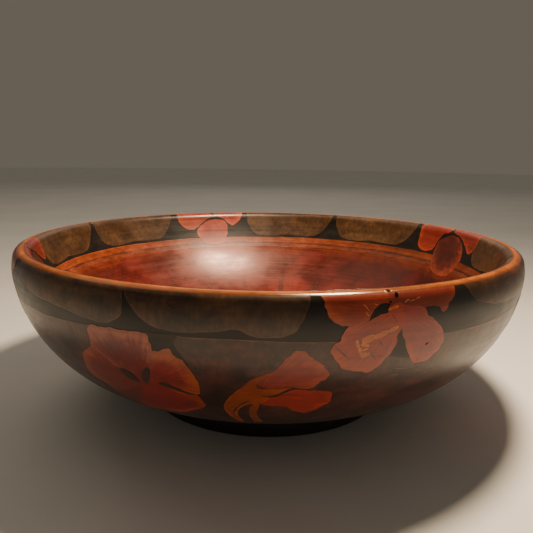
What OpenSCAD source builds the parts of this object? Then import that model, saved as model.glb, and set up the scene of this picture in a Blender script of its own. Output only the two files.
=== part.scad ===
// Wide turned wooden bowl with a rounded lip and a low foot, painted inside and out.
// Millimetres, +Z up. The origin is the centre of the foot's underside.
// Azimuth 0 faces -Y and grows towards +X. The pattern repeats once for each rim flower.

/* [Bowl] */
// Widest outside diameter
outer_d = 280; // [272:1:288]
// Height from the table to the top of the lip
bowl_h = 92.5; // [91:0.5:95]
// Radius of the rounded lip
lip_r = 4.5; // [4:0.1:5]
// Height of the widest point
shoulder_z = 82.5; // [81:0.5:84]
// Radius of the turned-in shoulder
shoulder_r = 28; // [26:1:30]
// Radius of the side below the shoulder
side_r = 73; // [71:1:74]
// Where the side curve meets the shoulder curve, in degrees below the widest point
blend_angle = 7.5; // [6:0.5:9]
// Radius of the flatter curve that leads in to the foot
base_r = 150; // [120:5:180]
// Where the side curve meets that base curve, in degrees below level
base_angle = 64; // [62:1:68]
// Radius of the curve of the inside wall
inner_r = 103.5; // [100:0.5:106]
// Height of the floor inside the bowl
floor_z = 19; // [18.5:0.5:21]

/* [Foot] */
// Radius of the foot
foot_r = 69.5; // [68.5:0.5:71]
// Radius of the hollow under the foot
hollow_r = 58; // [50:1:60]
// Depth of the hollow under the foot
hollow_depth = 3.5; // [2:0.5:3.5]
// Radius of the spigot that the foot is glued in by
spigot_r = 45; // [30:1:55]
// Height of the spigot
spigot_h = 2; // [1.5:0.5:2.5]
// Radial room left for glue round the spigot
glue_gap = 0.1; // [0.05:0.05:0.2]

/* [Paint] */
// Thickness of the coats that cover the wood
coat_t = 0.4; // [0.3:0.05:0.5]
// Thickness of the figures painted on those coats
figure_t = 0.3; // [0.2:0.05:0.4]
// Where the rim band stops on the outside of the lip, in degrees above level
band_out = 50; // [40:5:60]
// Where the rim band stops on the inside of the lip, in degrees
band_in = 105; // [95:5:120]
// Top of the ring line inside, below the top of the lip
ring_top = 18.5; // [18:0.5:20]
// Height of the ring line
ring_w = 7; // [5:0.5:8]
// Top of the lower field outside, below the top of the lip
field_top = 18.4; // [17.5:0.1:19]

/* [Pattern] */
// Number of flowers round the rim
flower_n = 4; // [4:1:4]
// Azimuth of the first rim flower
flower_az = 20; // [0:1:45]
// Number of petals in the flower on the floor
floor_petal_n = 22; // [12:1:24]
// Azimuth of a line between two petals of that flower
floor_petal_az = 174; // [0:1:359]

/* [Hidden] */
$fn = 128;

// Centres of the arcs in the half section. Each pair of arcs is tangent where they meet.
shoulder_c = [outer_d / 2 - shoulder_r, shoulder_z];
side_c = shoulder_c - (side_r - shoulder_r) * [cos(blend_angle), -sin(blend_angle)];
lip_z = bowl_h - lip_r;
lip_c = [shoulder_c.x + sqrt(pow(shoulder_r - lip_r, 2) - pow(lip_z - shoulder_z, 2)), lip_z];
inner_z = floor_z + inner_r;
inner_c = [lip_c.x - sqrt(pow(inner_r + lip_r, 2) - pow(inner_z - lip_z, 2)), inner_z];
lip_start = atan2(lip_z - shoulder_z, lip_c.x - shoulder_c.x);
wall_start = atan2(lip_z - inner_z, lip_c.x - inner_c.x);
lip_end = 180 + wall_start;
base_c = side_c - (base_r - side_r) * [cos(base_angle), -sin(base_angle)];
foot_top = base_c.y + (base_r - coat_t) * sin(foot_angle(-coat_t));
pattern_step = 360 / flower_n;
foot_round = 1.5;
arc_n = 10;
reach = outer_d / 2 + 10;

// Points of an arc. A later arc of a path starts at 1, so that no point comes twice.
function arc(c, r, a0, a1, n = arc_n, start = 0) =
    [for (i = [start:n]) let (a = a0 + (a1 - a0) * i / n) c + r * [cos(a), sin(a)]];
function backwards(v) = [for (i = [len(v) - 1:-1:0]) v[i]];
// Angle on the base curve where it meets the side of the foot
function foot_angle(out) = -acos((foot_r - base_c.x) / (base_r + out));
// Angle on the inside wall at a height
function wall_angle(z) = -asin((inner_z - z) / inner_r);

// Half-section paths at a distance outside the finished wood
function outside_path(out, lip_to) = concat(
    arc(base_c, base_r + out, foot_angle(out), -base_angle, 6),
    arc(side_c, side_r + out, -base_angle, -blend_angle, 2 * arc_n, 1),
    arc(shoulder_c, shoulder_r + out, -blend_angle, lip_start, 4, 1),
    arc(lip_c, lip_r + out, lip_start, lip_to, 6, 1)
);
function lip_path(out, from, to) = arc(lip_c, lip_r + out, from, to, 6);
function wall_path(out, from, to) = arc(inner_c, inner_r - out, from, to);
function inside_path(out, lip_from) = concat(
    lip_path(out, lip_from, lip_end),
    arc(inner_c, inner_r - out, wall_start, -90, 2 * arc_n, 1)
);

// A film between two paths, turned round the axis
module film(outer, inner) rotate_extrude() polygon(concat(outer, backwards(inner)));
module outside_film() film(outside_path(figure_t, 90), outside_path(0, 90));
module inside_film() film(
    concat(inside_path(figure_t, 90), [[0, floor_z + figure_t]]),
    concat(inside_path(0, 90), [[0, floor_z]])
);

// A flat figure, drawn as [across, below the top of the lip], carried out to the wall
module facing(azimuth) rotate([0, 0, azimuth]) rotate([90, 0, 0]) linear_extrude(reach) children();
module flat(outline) polygon([for (p = outline) [p.x, bowl_h - p.y]]);
module drawn(outline) flat(smooth(outline));
module around(offset_az = 0) {
    for (k = [0:flower_n - 1]) facing(flower_az + offset_az + k * pattern_step) children();
}

// A closed smooth curve through the points
function at(v, i) = v[(i + len(v)) % len(v)];
function spline(a, b, c, d, t) = 0.5 * (
    2 * b + (c - a) * t + (2 * a - 5 * b + 4 * c - d) * t * t + (3 * b - a - 3 * c + d) * t * t * t
);
function smooth(v, n = 3) = [
    for (i = [0:len(v) - 1]) for (k = [0:n - 1])
        spline(at(v, i - 1), v[i], at(v, i + 1), at(v, i + 2), k / n)
];

// The figures below that hang from the lip start above it, where nothing is left of them.
// The two scallops outside
scallops = [
    [[-36, -9], [-35.8, -2], [-35.4, 1.5], [-34.6, 4.1], [-31.1, 9], [-25.9, 13.2], [-21.4, 15],
     [-12, 15.8], [1.1, 14.6], [6.4, 13.5], [10.6, 13.7], [14.6, 15.8], [22.3, 16.3],
     [28.6, 14.8], [32.4, 10.5], [34.7, 3.3], [35, -2], [35, -9]],
    [[-38, -9], [-37.6, -2], [-37, 1.4], [-32.2, 7.3], [-27.5, 9.4], [-14.4, 12.3], [3, 13.4],
     [18.3, 15.3], [26.1, 16.1], [31.9, 15.9], [36.3, 14.2], [39.4, 11.8], [40.3, 8], [39.6, 2],
     [39.2, -2], [39.2, -9]]
];
// Petals of the rim flower, outside
rim_petals = [
    [[-29, -9], [-29, -2], [-28.2, 2], [-27.1, 4.8], [-25.9, 9.5], [-22.8, 11.2], [-18.3, 12.1],
     [-12, 11.2], [-10.4, 9.2], [-8.5, 6], [-5.9, 4.3], [-2.6, 4.2], [-1.6, -2], [-1.6, -9]],
    [[-2.2, -9], [-2.2, -2], [-2.8, 4.6], [1, 6.4], [7.6, 7.4], [11.9, 7.8], [16.3, 7.2],
     [20.5, 8], [21.7, 10.2], [24.1, 9.4], [25, 7.2], [27.8, 5.4], [29, -2], [29, -9]],
    [[-24.6, 22.3], [-22.9, 18.7], [-21.1, 18], [-20.3, 14.3], [-18.3, 11.7], [-14.5, 11.2],
     [-11.3, 10.7], [-6.7, 8.7], [-3.4, 7.4], [-2.6, 5.4], [1.5, 5], [4, 8.5], [4.6, 12],
     [3.1, 14.6], [1.8, 17.4], [1.5, 21.6], [0.5, 25.2], [-2.1, 27.9], [-5.3, 31.8],
     [-7.7, 33.1], [-11.5, 31.9], [-17.9, 30.5], [-20.2, 27.7], [-22.6, 24.9]],
    [[0.5, 5.5], [7.6, 6.2], [11.9, 7], [14.9, 10.3], [18.6, 13.1], [22.9, 17.3], [25.5, 21.4],
     [24.7, 25.8], [22.1, 28.5], [18.7, 31.1], [13.6, 31.3], [10.8, 29.7], [8.6, 25.5],
     [4.7, 19.1], [3.1, 14.8], [1.4, 10]]
];
rim_stamen = [
    [2.4, 13.2], [1.8, 15], [-1.6, 16.4], [-6.3, 18.1], [-9.4, 19.3], [-12, 20.6],
    [-11.2, 23.2], [-8, 23.4], [-8, 24.8], [-11.4, 26], [-13.8, 23.4], [-15, 20], [-15.4, 17.8],
    [-13.1, 17], [-9.2, 16.5], [-4.6, 14.9], [-0.6, 13.5]
];
// Petals of the side flower, which lies across the lower half, and the slits left between them
side_petals = [
    [[-21, 18.6], [-11.5, 18], [-4.5, 17.7], [2, 17.6], [6.7, 18], [7.8, 20.5], [8.6, 24.1],
     [8.2, 28], [5.9, 32.4], [3, 36], [0, 40.5], [-1.2, 43.4], [-3.2, 39.5], [-5.8, 37],
     [-10.2, 36.7], [-13.1, 34.8], [-16, 32.5], [-19.8, 30.2], [-22, 28.7], [-21.6, 24.2]],
    [[-29, 32.8], [-25, 30.4], [-21.5, 28.2], [-15, 31], [-10, 36], [-5, 40.5], [-1.2, 43.8],
     [-6, 48], [-14, 52], [-20.9, 53.4], [-24.5, 50], [-28.4, 48], [-32.4, 45], [-31.5, 38.8]],
    [[8.4, 25.6], [11.2, 25], [13.9, 23.2], [16.2, 23.6], [17.4, 26.1], [19.9, 27.7],
     [22, 31.4], [23.5, 34.7], [24.2, 37.4], [23.4, 42], [22.4, 44.8], [16, 45], [8, 44],
     [0, 44.6], [-1.4, 43.6], [1, 40.5], [4, 36], [5.7, 31]],
    [[-1.5, 43], [2.6, 42.5], [8, 42], [14.3, 43.5], [18.5, 45], [21.7, 46], [22.8, 49.9],
     [20.6, 53.2], [13.7, 56.9], [6, 60.6], [-2.3, 61], [-10.5, 63.5], [-11, 58], [-5, 49]],
    [[-21.5, 52], [-14, 49], [-7.5, 46], [-1.4, 43.5], [-2, 50], [-6, 58], [-10.6, 64.3],
     [-17.2, 66.6], [-17.4, 61], [-20.2, 57.2]]
];
side_slits = [
    [[-10.2, 36.9], [-6.8, 36.5], [-4.7, 38.8], [-1.8, 42.6], [-5.6, 42.2], [-9.1, 40.6]],
    [[3.7, 33.3], [5.1, 33.9], [3.9, 37.8], [0.9, 42.4], [-0.6, 41], [-0.3, 37.9], [1.4, 35.3]],
    [[6, 41.4], [8.1, 40.2], [11.1, 40.5], [14.2, 42.1], [18.3, 44], [21.4, 44.8], [18, 45.2],
     [13.6, 43.8], [9.9, 42.3]]
];
// Petals, stem and curled tip of the bud, which is seen from its side
bud_petals = [
    [[5, 22.2], [8.3, 21.6], [11.7, 24], [14.6, 26.3], [17, 29.2], [19.2, 32.8], [18.7, 34.4],
     [15.5, 36.6], [13.7, 38.4], [10.4, 39.4], [5.5, 38.4], [-1.2, 39], [-6.9, 38.7],
     [-8.2, 36.8], [-6.1, 34.2], [-3.3, 31.7], [-0.2, 28.8], [2.5, 24.9]],
    [[-2.5, 44.6], [0.9, 42.8], [4.6, 40.4], [7, 39.8], [10.4, 40.2], [15.4, 40.6],
     [19.4, 41.3], [21.2, 42.8], [21.6, 45.6], [20, 48.6], [16, 52], [11.9, 55],
     [7, 52.6], [4.3, 50.2], [0.8, 49.4], [-2.7, 49], [-6, 48.2], [-6.8, 45.9]]
];
bud_stem = [
    [-3.3, 31.7], [-7.1, 33], [-10.8, 35.3], [-14.1, 39], [-17.5, 42.7], [-20.6, 48.4],
    [-21, 51.9], [-19.4, 56.7], [-16.4, 61.3], [-14.4, 65], [-13.5, 63], [-15, 58.5],
    [-15.6, 54.3], [-14, 50.5], [-11, 48.2], [-6.5, 47.6], [-4, 45.6], [0.8, 41.3], [5.5, 38.5],
    [-1, 39.2], [-6, 39.4], [-8.4, 37.8], [-7, 34.8]
];
bud_curl = [
    [-8.2, 47], [-9.9, 49.1], [-10.9, 52.7], [-10.3, 57.9], [-8.4, 63.2], [-5.2, 63.3],
    [-6.9, 58.8], [-7.9, 54.4], [-6.8, 49]
];
// Scallop inside the rim, which widens up to the lip
inner_scallop = [
    [-35, -9], [-34.6, 1.5], [-32, 6.2], [-27.5, 12], [-21, 16.3], [-10, 17], [1.8, 16.4],
    [12, 17.4], [22, 17.2], [29, 14.3], [33, 8], [34.6, 2], [35, -9]
];
// Petals of the two flowers inside the rim, which take turns round it
inner_petals = [
    [[[29.5, -9], [29.5, -2], [28.4, 5.5], [25, 9.4], [19.8, 12.2], [14.9, 11.2], [9.7, 7.6],
      [4.5, 4.2], [1, 2.5], [0.5, -2], [0.5, -9]],
     [[13.2, 11.8], [14.2, 14.4], [12.9, 17.5], [9.4, 21.9], [4.9, 23.3], [-4.6, 23.5],
      [-8.2, 20.1], [-10.6, 15.1], [-11, 10.1], [-9, 6.2], [-4.3, 4.9], [3, 5.4], [9, 8.3]],
     [[-25, -9], [-25, -2], [-23.5, 2.5], [-21.2, 5.7], [-16.1, 9.5], [-12.3, 8.2],
      [-8.4, 4.8], [-4.4, 3], [-0.4, 2], [-0.2, -2], [-0.2, -9]]],
    [[[30, -9], [30.5, -2], [30, 4], [27.6, 13.3], [23.5, 16.6], [18.7, 17.2], [12.8, 15],
      [11, 9.5], [8, 4.5], [2, 2], [1, -2], [1, -9]],
     [[9.8, 9], [10.4, 15.4], [9, 20], [6, 26], [-2, 29], [-14, 28], [-19.8, 18.5],
      [-15.6, 9.6], [-9, 5], [0, 4]],
     [[-30.5, -9], [-31, -2], [-30.6, 5], [-26, 12.2], [-18.4, 8.8], [-12.4, 5], [-6, 3],
      [-1, 1.5], [0, -2], [0, -9]]]
];
// Bare patches of the ground in the lower field, beside the side flower and under the rim flower
side_patch = [
    [15.2, 15], [19.8, 15], [19.3, 18.4], [18, 20.8], [19.5, 24], [21, 27], [22.6, 30.4],
    [20, 29.4], [16, 27], [14.6, 23], [14.6, 19]
];
rim_patch = [[2.2, 13], [0.4, 20], [0, 26], [5.1, 27.4], [10.4, 27.6], [7, 20]];
side_az = -42;
bud_az = -18;
scallop_az = [-28.2, 30.2];
inner_scallop_az = [-27.5, 30.4];

module rim_flower_shape() for (p = rim_petals) drawn(p);
module side_flower_shape() difference() {
    for (p = side_petals) drawn(p);
    for (p = side_slits) drawn(p);
}
module bud_shape() for (p = bud_petals) drawn(p);
module stem_shape() {
    drawn(bud_stem);
    drawn(bud_curl);
}
// A floor petal in plan, from the centre's edge out to its round tip
module floor_petal() {
    tip_r = outer_d / 2 - 24;
    half_w = tip_r * tan(180 / floor_petal_n) - 1.2;
    polygon(concat([[14, 0], [tip_r - half_w, -half_w]], arc([tip_r - half_w, 0], half_w, -80, 80, 8),
                   [[tip_r - half_w, half_w]]));
}

module bowl_body() {
    color("peru") rotate_extrude() difference() {
        polygon(concat(
            [[0, foot_top]], outside_path(-coat_t, lip_end),
            arc(inner_c, inner_r + coat_t, wall_start, -90, 2 * arc_n, 1), [[0, floor_z - coat_t]]
        ));
        square([spigot_r + glue_gap, foot_top + spigot_h]);
    }
}
module foot() {
    color("black") rotate_extrude() polygon(concat(
        [[0, hollow_depth], [hollow_r - hollow_depth, hollow_depth], [hollow_r, 0]],
        arc([foot_r - foot_round, foot_round], foot_round, -90, 0, 6),
        [[foot_r, foot_top], [spigot_r, foot_top]],
        [[spigot_r, foot_top + spigot_h], [0, foot_top + spigot_h]]
    ));
}
module rim_band() {
    color("chocolate") film(lip_path(0, band_out, band_in), lip_path(-coat_t, band_out, band_in));
}
module outer_ground() {
    color([0.10, 0.09, 0.08]) film(outside_path(0, band_out), outside_path(-coat_t, band_out));
}
module inner_ground() {
    low = wall_angle(bowl_h - ring_top);
    color([0.08, 0.09, 0.07]) film(
        concat(lip_path(0, band_in, lip_end), arc(inner_c, inner_r, wall_start, low, 4, 1)),
        concat(lip_path(-coat_t, band_in, lip_end), arc(inner_c, inner_r + coat_t, wall_start, low, 4, 1))
    );
}
module inner_ring() {
    high = wall_angle(bowl_h - ring_top);
    low = wall_angle(bowl_h - ring_top - ring_w);
    color("orangered") film(wall_path(0, high, low), wall_path(-coat_t, high, low));
}
module floor_field() {
    high = wall_angle(bowl_h - ring_top - ring_w);
    color("darkred") film(
        concat(wall_path(0, high, -90), [[0, floor_z]]),
        concat(wall_path(-coat_t, high, -90), [[0, floor_z - coat_t]])
    );
}
module floor_flower() {
    color("firebrick") intersection() {
        inside_film();
        for (k = [0:floor_petal_n - 1])
            rotate([0, 0, floor_petal_az - 90 + (k + 0.5) * 360 / floor_petal_n])
                linear_extrude(bowl_h - ring_top - ring_w) floor_petal();
    }
}
module outer_scallops() {
    color([0.36, 0.27, 0.15]) intersection() {
        outside_film();
        for (i = [0:1]) around(scallop_az[i]) drawn(scallops[i]);
    }
}
module inner_scallops() {
    color([0.36, 0.27, 0.15]) intersection() {
        inside_film();
        for (a = inner_scallop_az) around(a) drawn(inner_scallop);
    }
}
module lower_field() {
    color([0.32, 0.22, 0.19]) difference() {
        intersection() {
            outside_film();
            cylinder(r = reach, h = bowl_h - field_top);
        }
        around() {
            rim_flower_shape();
            drawn(rim_patch);
        }
        around(side_az) {
            side_flower_shape();
            drawn(side_patch);
        }
        around(bud_az) {
            bud_shape();
            stem_shape();
        }
    }
}
module rim_flowers() {
    color([0.75, 0.25, 0.12]) difference() {
        intersection() {
            outside_film();
            around() rim_flower_shape();
        }
        around() drawn(rim_stamen);
    }
}
module rim_flower_stamens() {
    color("goldenrod") intersection() {
        outside_film();
        around() drawn(rim_stamen);
    }
}
module inner_flowers() {
    color([0.75, 0.25, 0.12]) intersection() {
        inside_film();
        for (k = [0:flower_n - 1]) facing(flower_az + k * pattern_step) {
            for (p = inner_petals[k % 2]) drawn(p);
        }
    }
}
module side_flowers() {
    color([0.80, 0.30, 0.14]) intersection() {
        outside_film();
        around(side_az) side_flower_shape();
    }
}
module side_buds() {
    color([0.75, 0.25, 0.12]) difference() {
        intersection() {
            outside_film();
            around(bud_az) bud_shape();
        }
        around(bud_az) stem_shape();
    }
}
module bud_stems() {
    color("darkorange") intersection() {
        outside_film();
        around(bud_az) stem_shape();
    }
}

bowl_body();
foot();
rim_band();
outer_ground();
inner_ground();
inner_ring();
floor_field();
floor_flower();
outer_scallops();
inner_scallops();
lower_field();
rim_flowers();
rim_flower_stamens();
inner_flowers();
side_flowers();
side_buds();
bud_stems();
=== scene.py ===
"""Painted wooden bowl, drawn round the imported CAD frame.

Sizes below are in millimetres until a mesh is made, and Blender's are in metres. Azimuth 0 faces -Y
and grows towards +X, and a figure's points are (across, below the top of the lip), as in the CAD
model. A place on the bowl's skin is (azimuth, s): s runs up the outside from the foot, over the
lip, down the inside and across the floor to the axis.
"""
import math

import bmesh
import bpy
import numpy as np
from mathutils import Matrix, Vector
from mathutils.geometry import delaunay_2d_cdt


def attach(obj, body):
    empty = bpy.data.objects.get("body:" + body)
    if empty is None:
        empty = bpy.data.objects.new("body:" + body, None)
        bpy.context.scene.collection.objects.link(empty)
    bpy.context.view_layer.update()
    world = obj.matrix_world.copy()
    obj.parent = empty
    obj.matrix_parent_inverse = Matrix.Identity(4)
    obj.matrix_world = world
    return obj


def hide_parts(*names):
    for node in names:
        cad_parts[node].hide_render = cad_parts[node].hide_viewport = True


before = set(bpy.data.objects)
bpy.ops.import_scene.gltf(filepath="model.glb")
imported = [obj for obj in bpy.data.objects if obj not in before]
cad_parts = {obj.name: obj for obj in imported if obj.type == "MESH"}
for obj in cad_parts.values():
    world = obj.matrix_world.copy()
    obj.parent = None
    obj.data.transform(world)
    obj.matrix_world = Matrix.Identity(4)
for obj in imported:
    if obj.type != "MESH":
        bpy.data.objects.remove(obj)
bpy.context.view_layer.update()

MM = 0.001
# The turned section: the lip's round, then the arcs of the shoulder, the side and the base, with
# the angles below level where they end, and the arc and the flat floor of the inside
BOWL_H = 92.5
LIP_R = 4.5
SHOULDER = (112.0, 82.5)
SHOULDER_R = 28.0
SIDE_R = 73.0
BLEND = 7.5
BASE_R = 150.0
BASE = 64.0
INNER_R = 103.5
FLOOR_Z = 19.0
FOOT_R = 69.5
FOOT_TOP = 12.3
SPIGOT_R = 45.0
# The coats: their thickness, the ring above the floor, the lip band's ends as angles on the lip
COAT_T = 0.4
RING_TOP = 18.5
RING_W = 7.0
BAND_OUT = 50.0
BAND_IN = 105.0
# Where the figures stand: the turn from one repeat to the next, and the first ones' azimuths
STEP = 90.0
FLOWER_AZ = 20.0
SIDE_AZ = FLOWER_AZ - 42
BUD_AZ = FLOWER_AZ - 18
FIELD_TOP = 18.7
FIELD_WAVE = 1.4
FLOOR_PETALS = 22
FLOOR_PETAL_AZ = 174.0


def rad(a):
    return a * math.pi / 180


def polar(centre, r, degrees):
    return (centre[0] + r * math.cos(rad(degrees)), centre[1] + r * math.sin(rad(degrees)))


def walked(points):
    """The distance along a row of points, at each of them."""
    return np.concatenate([[0], np.cumsum(np.hypot(*np.diff(points, axis=0).T))])


# ---- The bowl's skin ----

def make_skin():
    """The half section, made of arcs: (centre, radius, from, to, side its normal points to).

    Its rows are s, radius, height and the normal. Returned with it: where each arc starts, and the
    angle on the lip where the shoulder ends.
    """
    side = polar(SHOULDER, SHOULDER_R - SIDE_R, -BLEND)
    base = polar(side, SIDE_R - BASE_R, -BASE)
    lip_z = BOWL_H - LIP_R
    lip = (SHOULDER[0] + math.sqrt((SHOULDER_R - LIP_R) ** 2 - (lip_z - SHOULDER[1]) ** 2), lip_z)
    inner_z = FLOOR_Z + INNER_R
    inner = (lip[0] - math.sqrt((INNER_R + LIP_R) ** 2 - (inner_z - lip_z) ** 2), inner_z)
    foot_a = -math.degrees(math.acos((FOOT_R - base[0]) / BASE_R))
    lip_a = math.degrees(math.atan2(lip_z - SHOULDER[1], lip[0] - SHOULDER[0]))
    wall_a = math.degrees(math.atan2(lip_z - inner_z, lip[0] - inner[0]))
    arcs = [(base, BASE_R, foot_a, -BASE, 1), (side, SIDE_R, -BASE, -BLEND, 1),
            (SHOULDER, SHOULDER_R, -BLEND, lip_a, 1), (lip, LIP_R, lip_a, 180 + wall_a, 1),
            (inner, INNER_R, wall_a, -90, -1)]
    rows = []
    start = 0.0
    starts = []
    for (c, r, a0, a1, sign) in arcs:
        starts.append(start)
        length = r * abs(rad(a1 - a0))
        n = int(length / 0.1) + 2
        a = np.radians(np.linspace(a0, a1, n))
        cos, sin = np.cos(a), np.sin(a)
        rows.append(np.stack([start + np.linspace(0, length, n), c[0] + r * cos, c[1] + r * sin,
                              sign * cos, sign * sin], 1))
        start += length
    starts.append(start)
    n = int(inner[0] / 0.1)
    r = np.linspace(inner[0], 0, n)
    zero = np.zeros(n)
    rows.append(np.stack([start + inner[0] - r, r, zero + FLOOR_Z, zero, zero + 1], 1))
    table = np.concatenate(rows)
    keep = np.concatenate([[True], np.diff(table[:, 0]) > 1e-9])
    return table[keep], starts, lip_a


SKIN, STARTS, LIP_A = make_skin()
LIP_S = STARTS[3]
S_TOP = LIP_S + LIP_R * rad(90 - LIP_A)
S_END = float(SKIN[-1, 0])
OUTSIDE = SKIN[SKIN[:, 0] <= S_TOP]
INSIDE = SKIN[SKIN[:, 0] >= S_TOP][::-1]


def lip_s(angle):
    """s at an angle on the lip, measured from outward level, over the top."""
    return LIP_S + LIP_R * rad(angle - LIP_A)


def s_outside(z):
    return np.interp(z, OUTSIDE[:, 2], OUTSIDE[:, 0])


def s_inside(z):
    return np.interp(z, INSIDE[:, 2], INSIDE[:, 0])


def s_floor(r):
    return np.interp(r, INSIDE[:, 1], INSIDE[:, 0])


def on_skin(az, s, lift):
    """Points and normals at azimuths in radians and places s, that far outside the skin."""
    s = np.asarray(s, float)
    r, z, nr, nz = (np.interp(s, SKIN[:, 0], SKIN[:, k]) for k in (1, 2, 3, 4))
    size = np.hypot(nr, nz)
    nr, nz = nr / size, nz / size
    sin, cos = np.sin(az), np.cos(az)
    rr = r + lift * nr
    points = np.stack([rr * sin, -rr * cos, z + lift * nz], -1)
    normals = np.stack([nr * sin, -nr * cos, nz + 0 * sin], -1)
    return points, normals


# ---- Meshes ----

def add_attribute(mesh, name, values):
    values = np.asarray(values, np.float32)
    kinds = {1: ("FLOAT", "value"), 3: ("FLOAT_VECTOR", "vector"), 4: ("FLOAT_COLOR", "color")}
    kind, field = kinds[values.size // len(values)]
    mesh.attributes.new(name, kind, "POINT").data.foreach_set(field, values.ravel())


def new_object(name, data):
    made = bpy.data.objects.new(name, data)
    bpy.context.scene.collection.objects.link(made)
    return made


def make_piece(name, points, faces, attributes, normals=None):
    mesh = bpy.data.meshes.new(name)
    mesh.from_pydata((np.asarray(points) * MM).tolist(), [], faces)
    mesh.polygons.foreach_set("use_smooth", [True] * len(mesh.polygons))
    for key, values in attributes.items():
        add_attribute(mesh, key, values)
    mesh.update()
    if normals is None:
        mesh.set_sharp_from_angle(angle=rad(38))
    else:
        mesh.normals_split_custom_set_from_vertices(normals.tolist())
    return new_object(name, mesh)


def add_face(faces, *ids):
    """Adds a face, without the corners that fall together."""
    ids = [int(v) for k, v in enumerate(ids) if v != ids[k - 1]]
    if len(set(ids)) > 2:
        faces.append(ids)


def used_only(points, faces, values):
    """The points that the faces use with their rows of values, and the faces renumbered."""
    used = np.zeros(len(points), bool)
    used[[v for f in faces for v in f]] = True
    renumber = np.cumsum(used) - 1
    return points[used], [[int(renumber[v]) for v in f] for f in faces], values[used]


def wobble(n, length, amount, seed, longest=16, shortest=2.6):
    """A smooth closed row of n offsets, as an unsteady hand makes along a line of that length."""
    rng = np.random.default_rng(seed)
    t = np.arange(n) / n * 2 * math.pi
    total = np.zeros(n)
    first = max(1, int(length / longest))
    last = max(first + 1, int(length / shortest))
    for k in range(first, last + 1):
        total += rng.normal() * np.sin(k * t + rng.uniform(0, 2 * math.pi)) / math.sqrt(k)
    return total * amount / max(1e-9, total.std())


def turned_film(name, lo, hi, top=0.0, depth=0.38, row=1.6, around=360, shaky=0.0, seed=1, rise=None):
    """A coat right round the bowl from s = lo to s = hi, closed into a thin shell."""
    rows = max(2, int((hi - lo) / row))
    az = np.arange(around) * 2 * math.pi / around
    length = 2 * math.pi * float(np.interp(lo, SKIN[:, 0], SKIN[:, 1]))
    lows, highs = np.full(around, lo), np.full(around, hi)
    if shaky:
        lows = lo + wobble(around, length, shaky, seed, 90, 9)
        highs = hi + wobble(around, length, shaky, seed + 1, 90, 9)
    if rise is not None:
        highs = highs + rise(az)
    t = np.linspace(0, 1, rows + 1)[:, None]
    s = lows[None] + (highs - lows)[None] * t
    azs = np.broadcast_to(az, s.shape)
    upper, _ = on_skin(azs, s, top)
    lower, _ = on_skin(azs, s, top - depth)
    count = (rows + 1) * around
    points = np.concatenate([upper.reshape(-1, 3), lower.reshape(-1, 3)])
    pole = hi >= S_END - 1e-6
    index = np.arange(count).reshape(rows + 1, around)
    if pole:
        index[-1] = index[-1, 0]
    faces = []
    for j in range(around):
        k = (j + 1) % around
        for i in range(rows):
            a, b, c, d = index[i, j], index[i, k], index[i + 1, k], index[i + 1, j]
            add_face(faces, a, b, c, d)
            add_face(faces, d + count, c + count, b + count, a + count)
        add_face(faces, index[0, k], index[0, j], index[0, j] + count, index[0, k] + count)
        if not pole:
            add_face(faces, index[-1, j], index[-1, k], index[-1, k] + count, index[-1, j] + count)
    edge = s - lo if pole else np.minimum(s - lo, hi - s)
    if rise is not None:
        edge = highs[None] - s
    values = np.tile(np.stack([s.ravel(), edge.ravel()], 1), (2, 1))
    points, faces, values = used_only(points, faces, values)
    return make_piece(name, points, faces, {"grain": grain_of(points, values[:, 0]), "edge": values[:, 1]})


def grain_of(points, s):
    """Coordinates in metres that run fast across the turning marks and slowly along them."""
    return np.stack([points[:, 0], points[:, 1], s], 1) * MM


def lathe(name, profile, around=256):
    """A closed section of (r, z) points turned round the axis."""
    n = len(profile)
    az = np.arange(around) * 2 * math.pi / around
    profile = np.asarray(profile, float)
    points = np.stack([profile[:, None, 0] * np.sin(az), -profile[:, None, 0] * np.cos(az),
                       np.broadcast_to(profile[:, None, 1], (n, around))], -1).reshape(-1, 3)
    index = np.arange(n * around).reshape(n, around)
    for i in range(n):
        if profile[i, 0] < 1e-6:
            index[i] = index[i, 0]
    faces = []
    for i in range(n):
        m = (i + 1) % n
        for j in range(around):
            k = (j + 1) % around
            add_face(faces, index[i, j], index[i, k], index[m, k], index[m, j])
    points, faces, s = used_only(points, faces, np.repeat(walked(profile), around))
    return make_piece(name, points, faces, {"grain": grain_of(points, s)})


# ---- Painted figures ----

def smooth(points, n=8):
    """A closed smooth curve through the points."""
    v = np.asarray(points, float)
    a, b, c, d = np.roll(v, 1, 0), v, np.roll(v, -1, 0), np.roll(v, -2, 0)
    t = (np.arange(n) / n)[None, :, None]
    a, b, c, d = (p[:, None] for p in (a, b, c, d))
    curve = 0.5 * (2 * b + (c - a) * t + (2 * a - 5 * b + 4 * c - d) * t ** 2
                   + (3 * b - a - 3 * c + d) * t ** 3)
    return curve.reshape(-1, 2)


def spaced(points, gap):
    """The closed outline again, with its points that far apart, and its length."""
    v = np.vstack([points, points[:1]])
    at = walked(v)
    n = max(8, int(at[-1] / gap))
    t = np.arange(n) * at[-1] / n
    return np.stack([np.interp(t, at, v[:, 0]), np.interp(t, at, v[:, 1])], 1), at[-1]


def clipped(points, limit, below):
    """The part of a closed outline on one side of s = limit."""
    out = []
    for k in range(len(points)):
        a, b = points[k - 1], points[k]
        kept = [p[1] <= limit if below else p[1] >= limit for p in (a, b)]
        if kept[0] != kept[1]:
            t = (limit - a[1]) / (b[1] - a[1])
            out.append(a + (b - a) * t)
        if kept[1]:
            out.append(b)
    return np.asarray(out)


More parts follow.
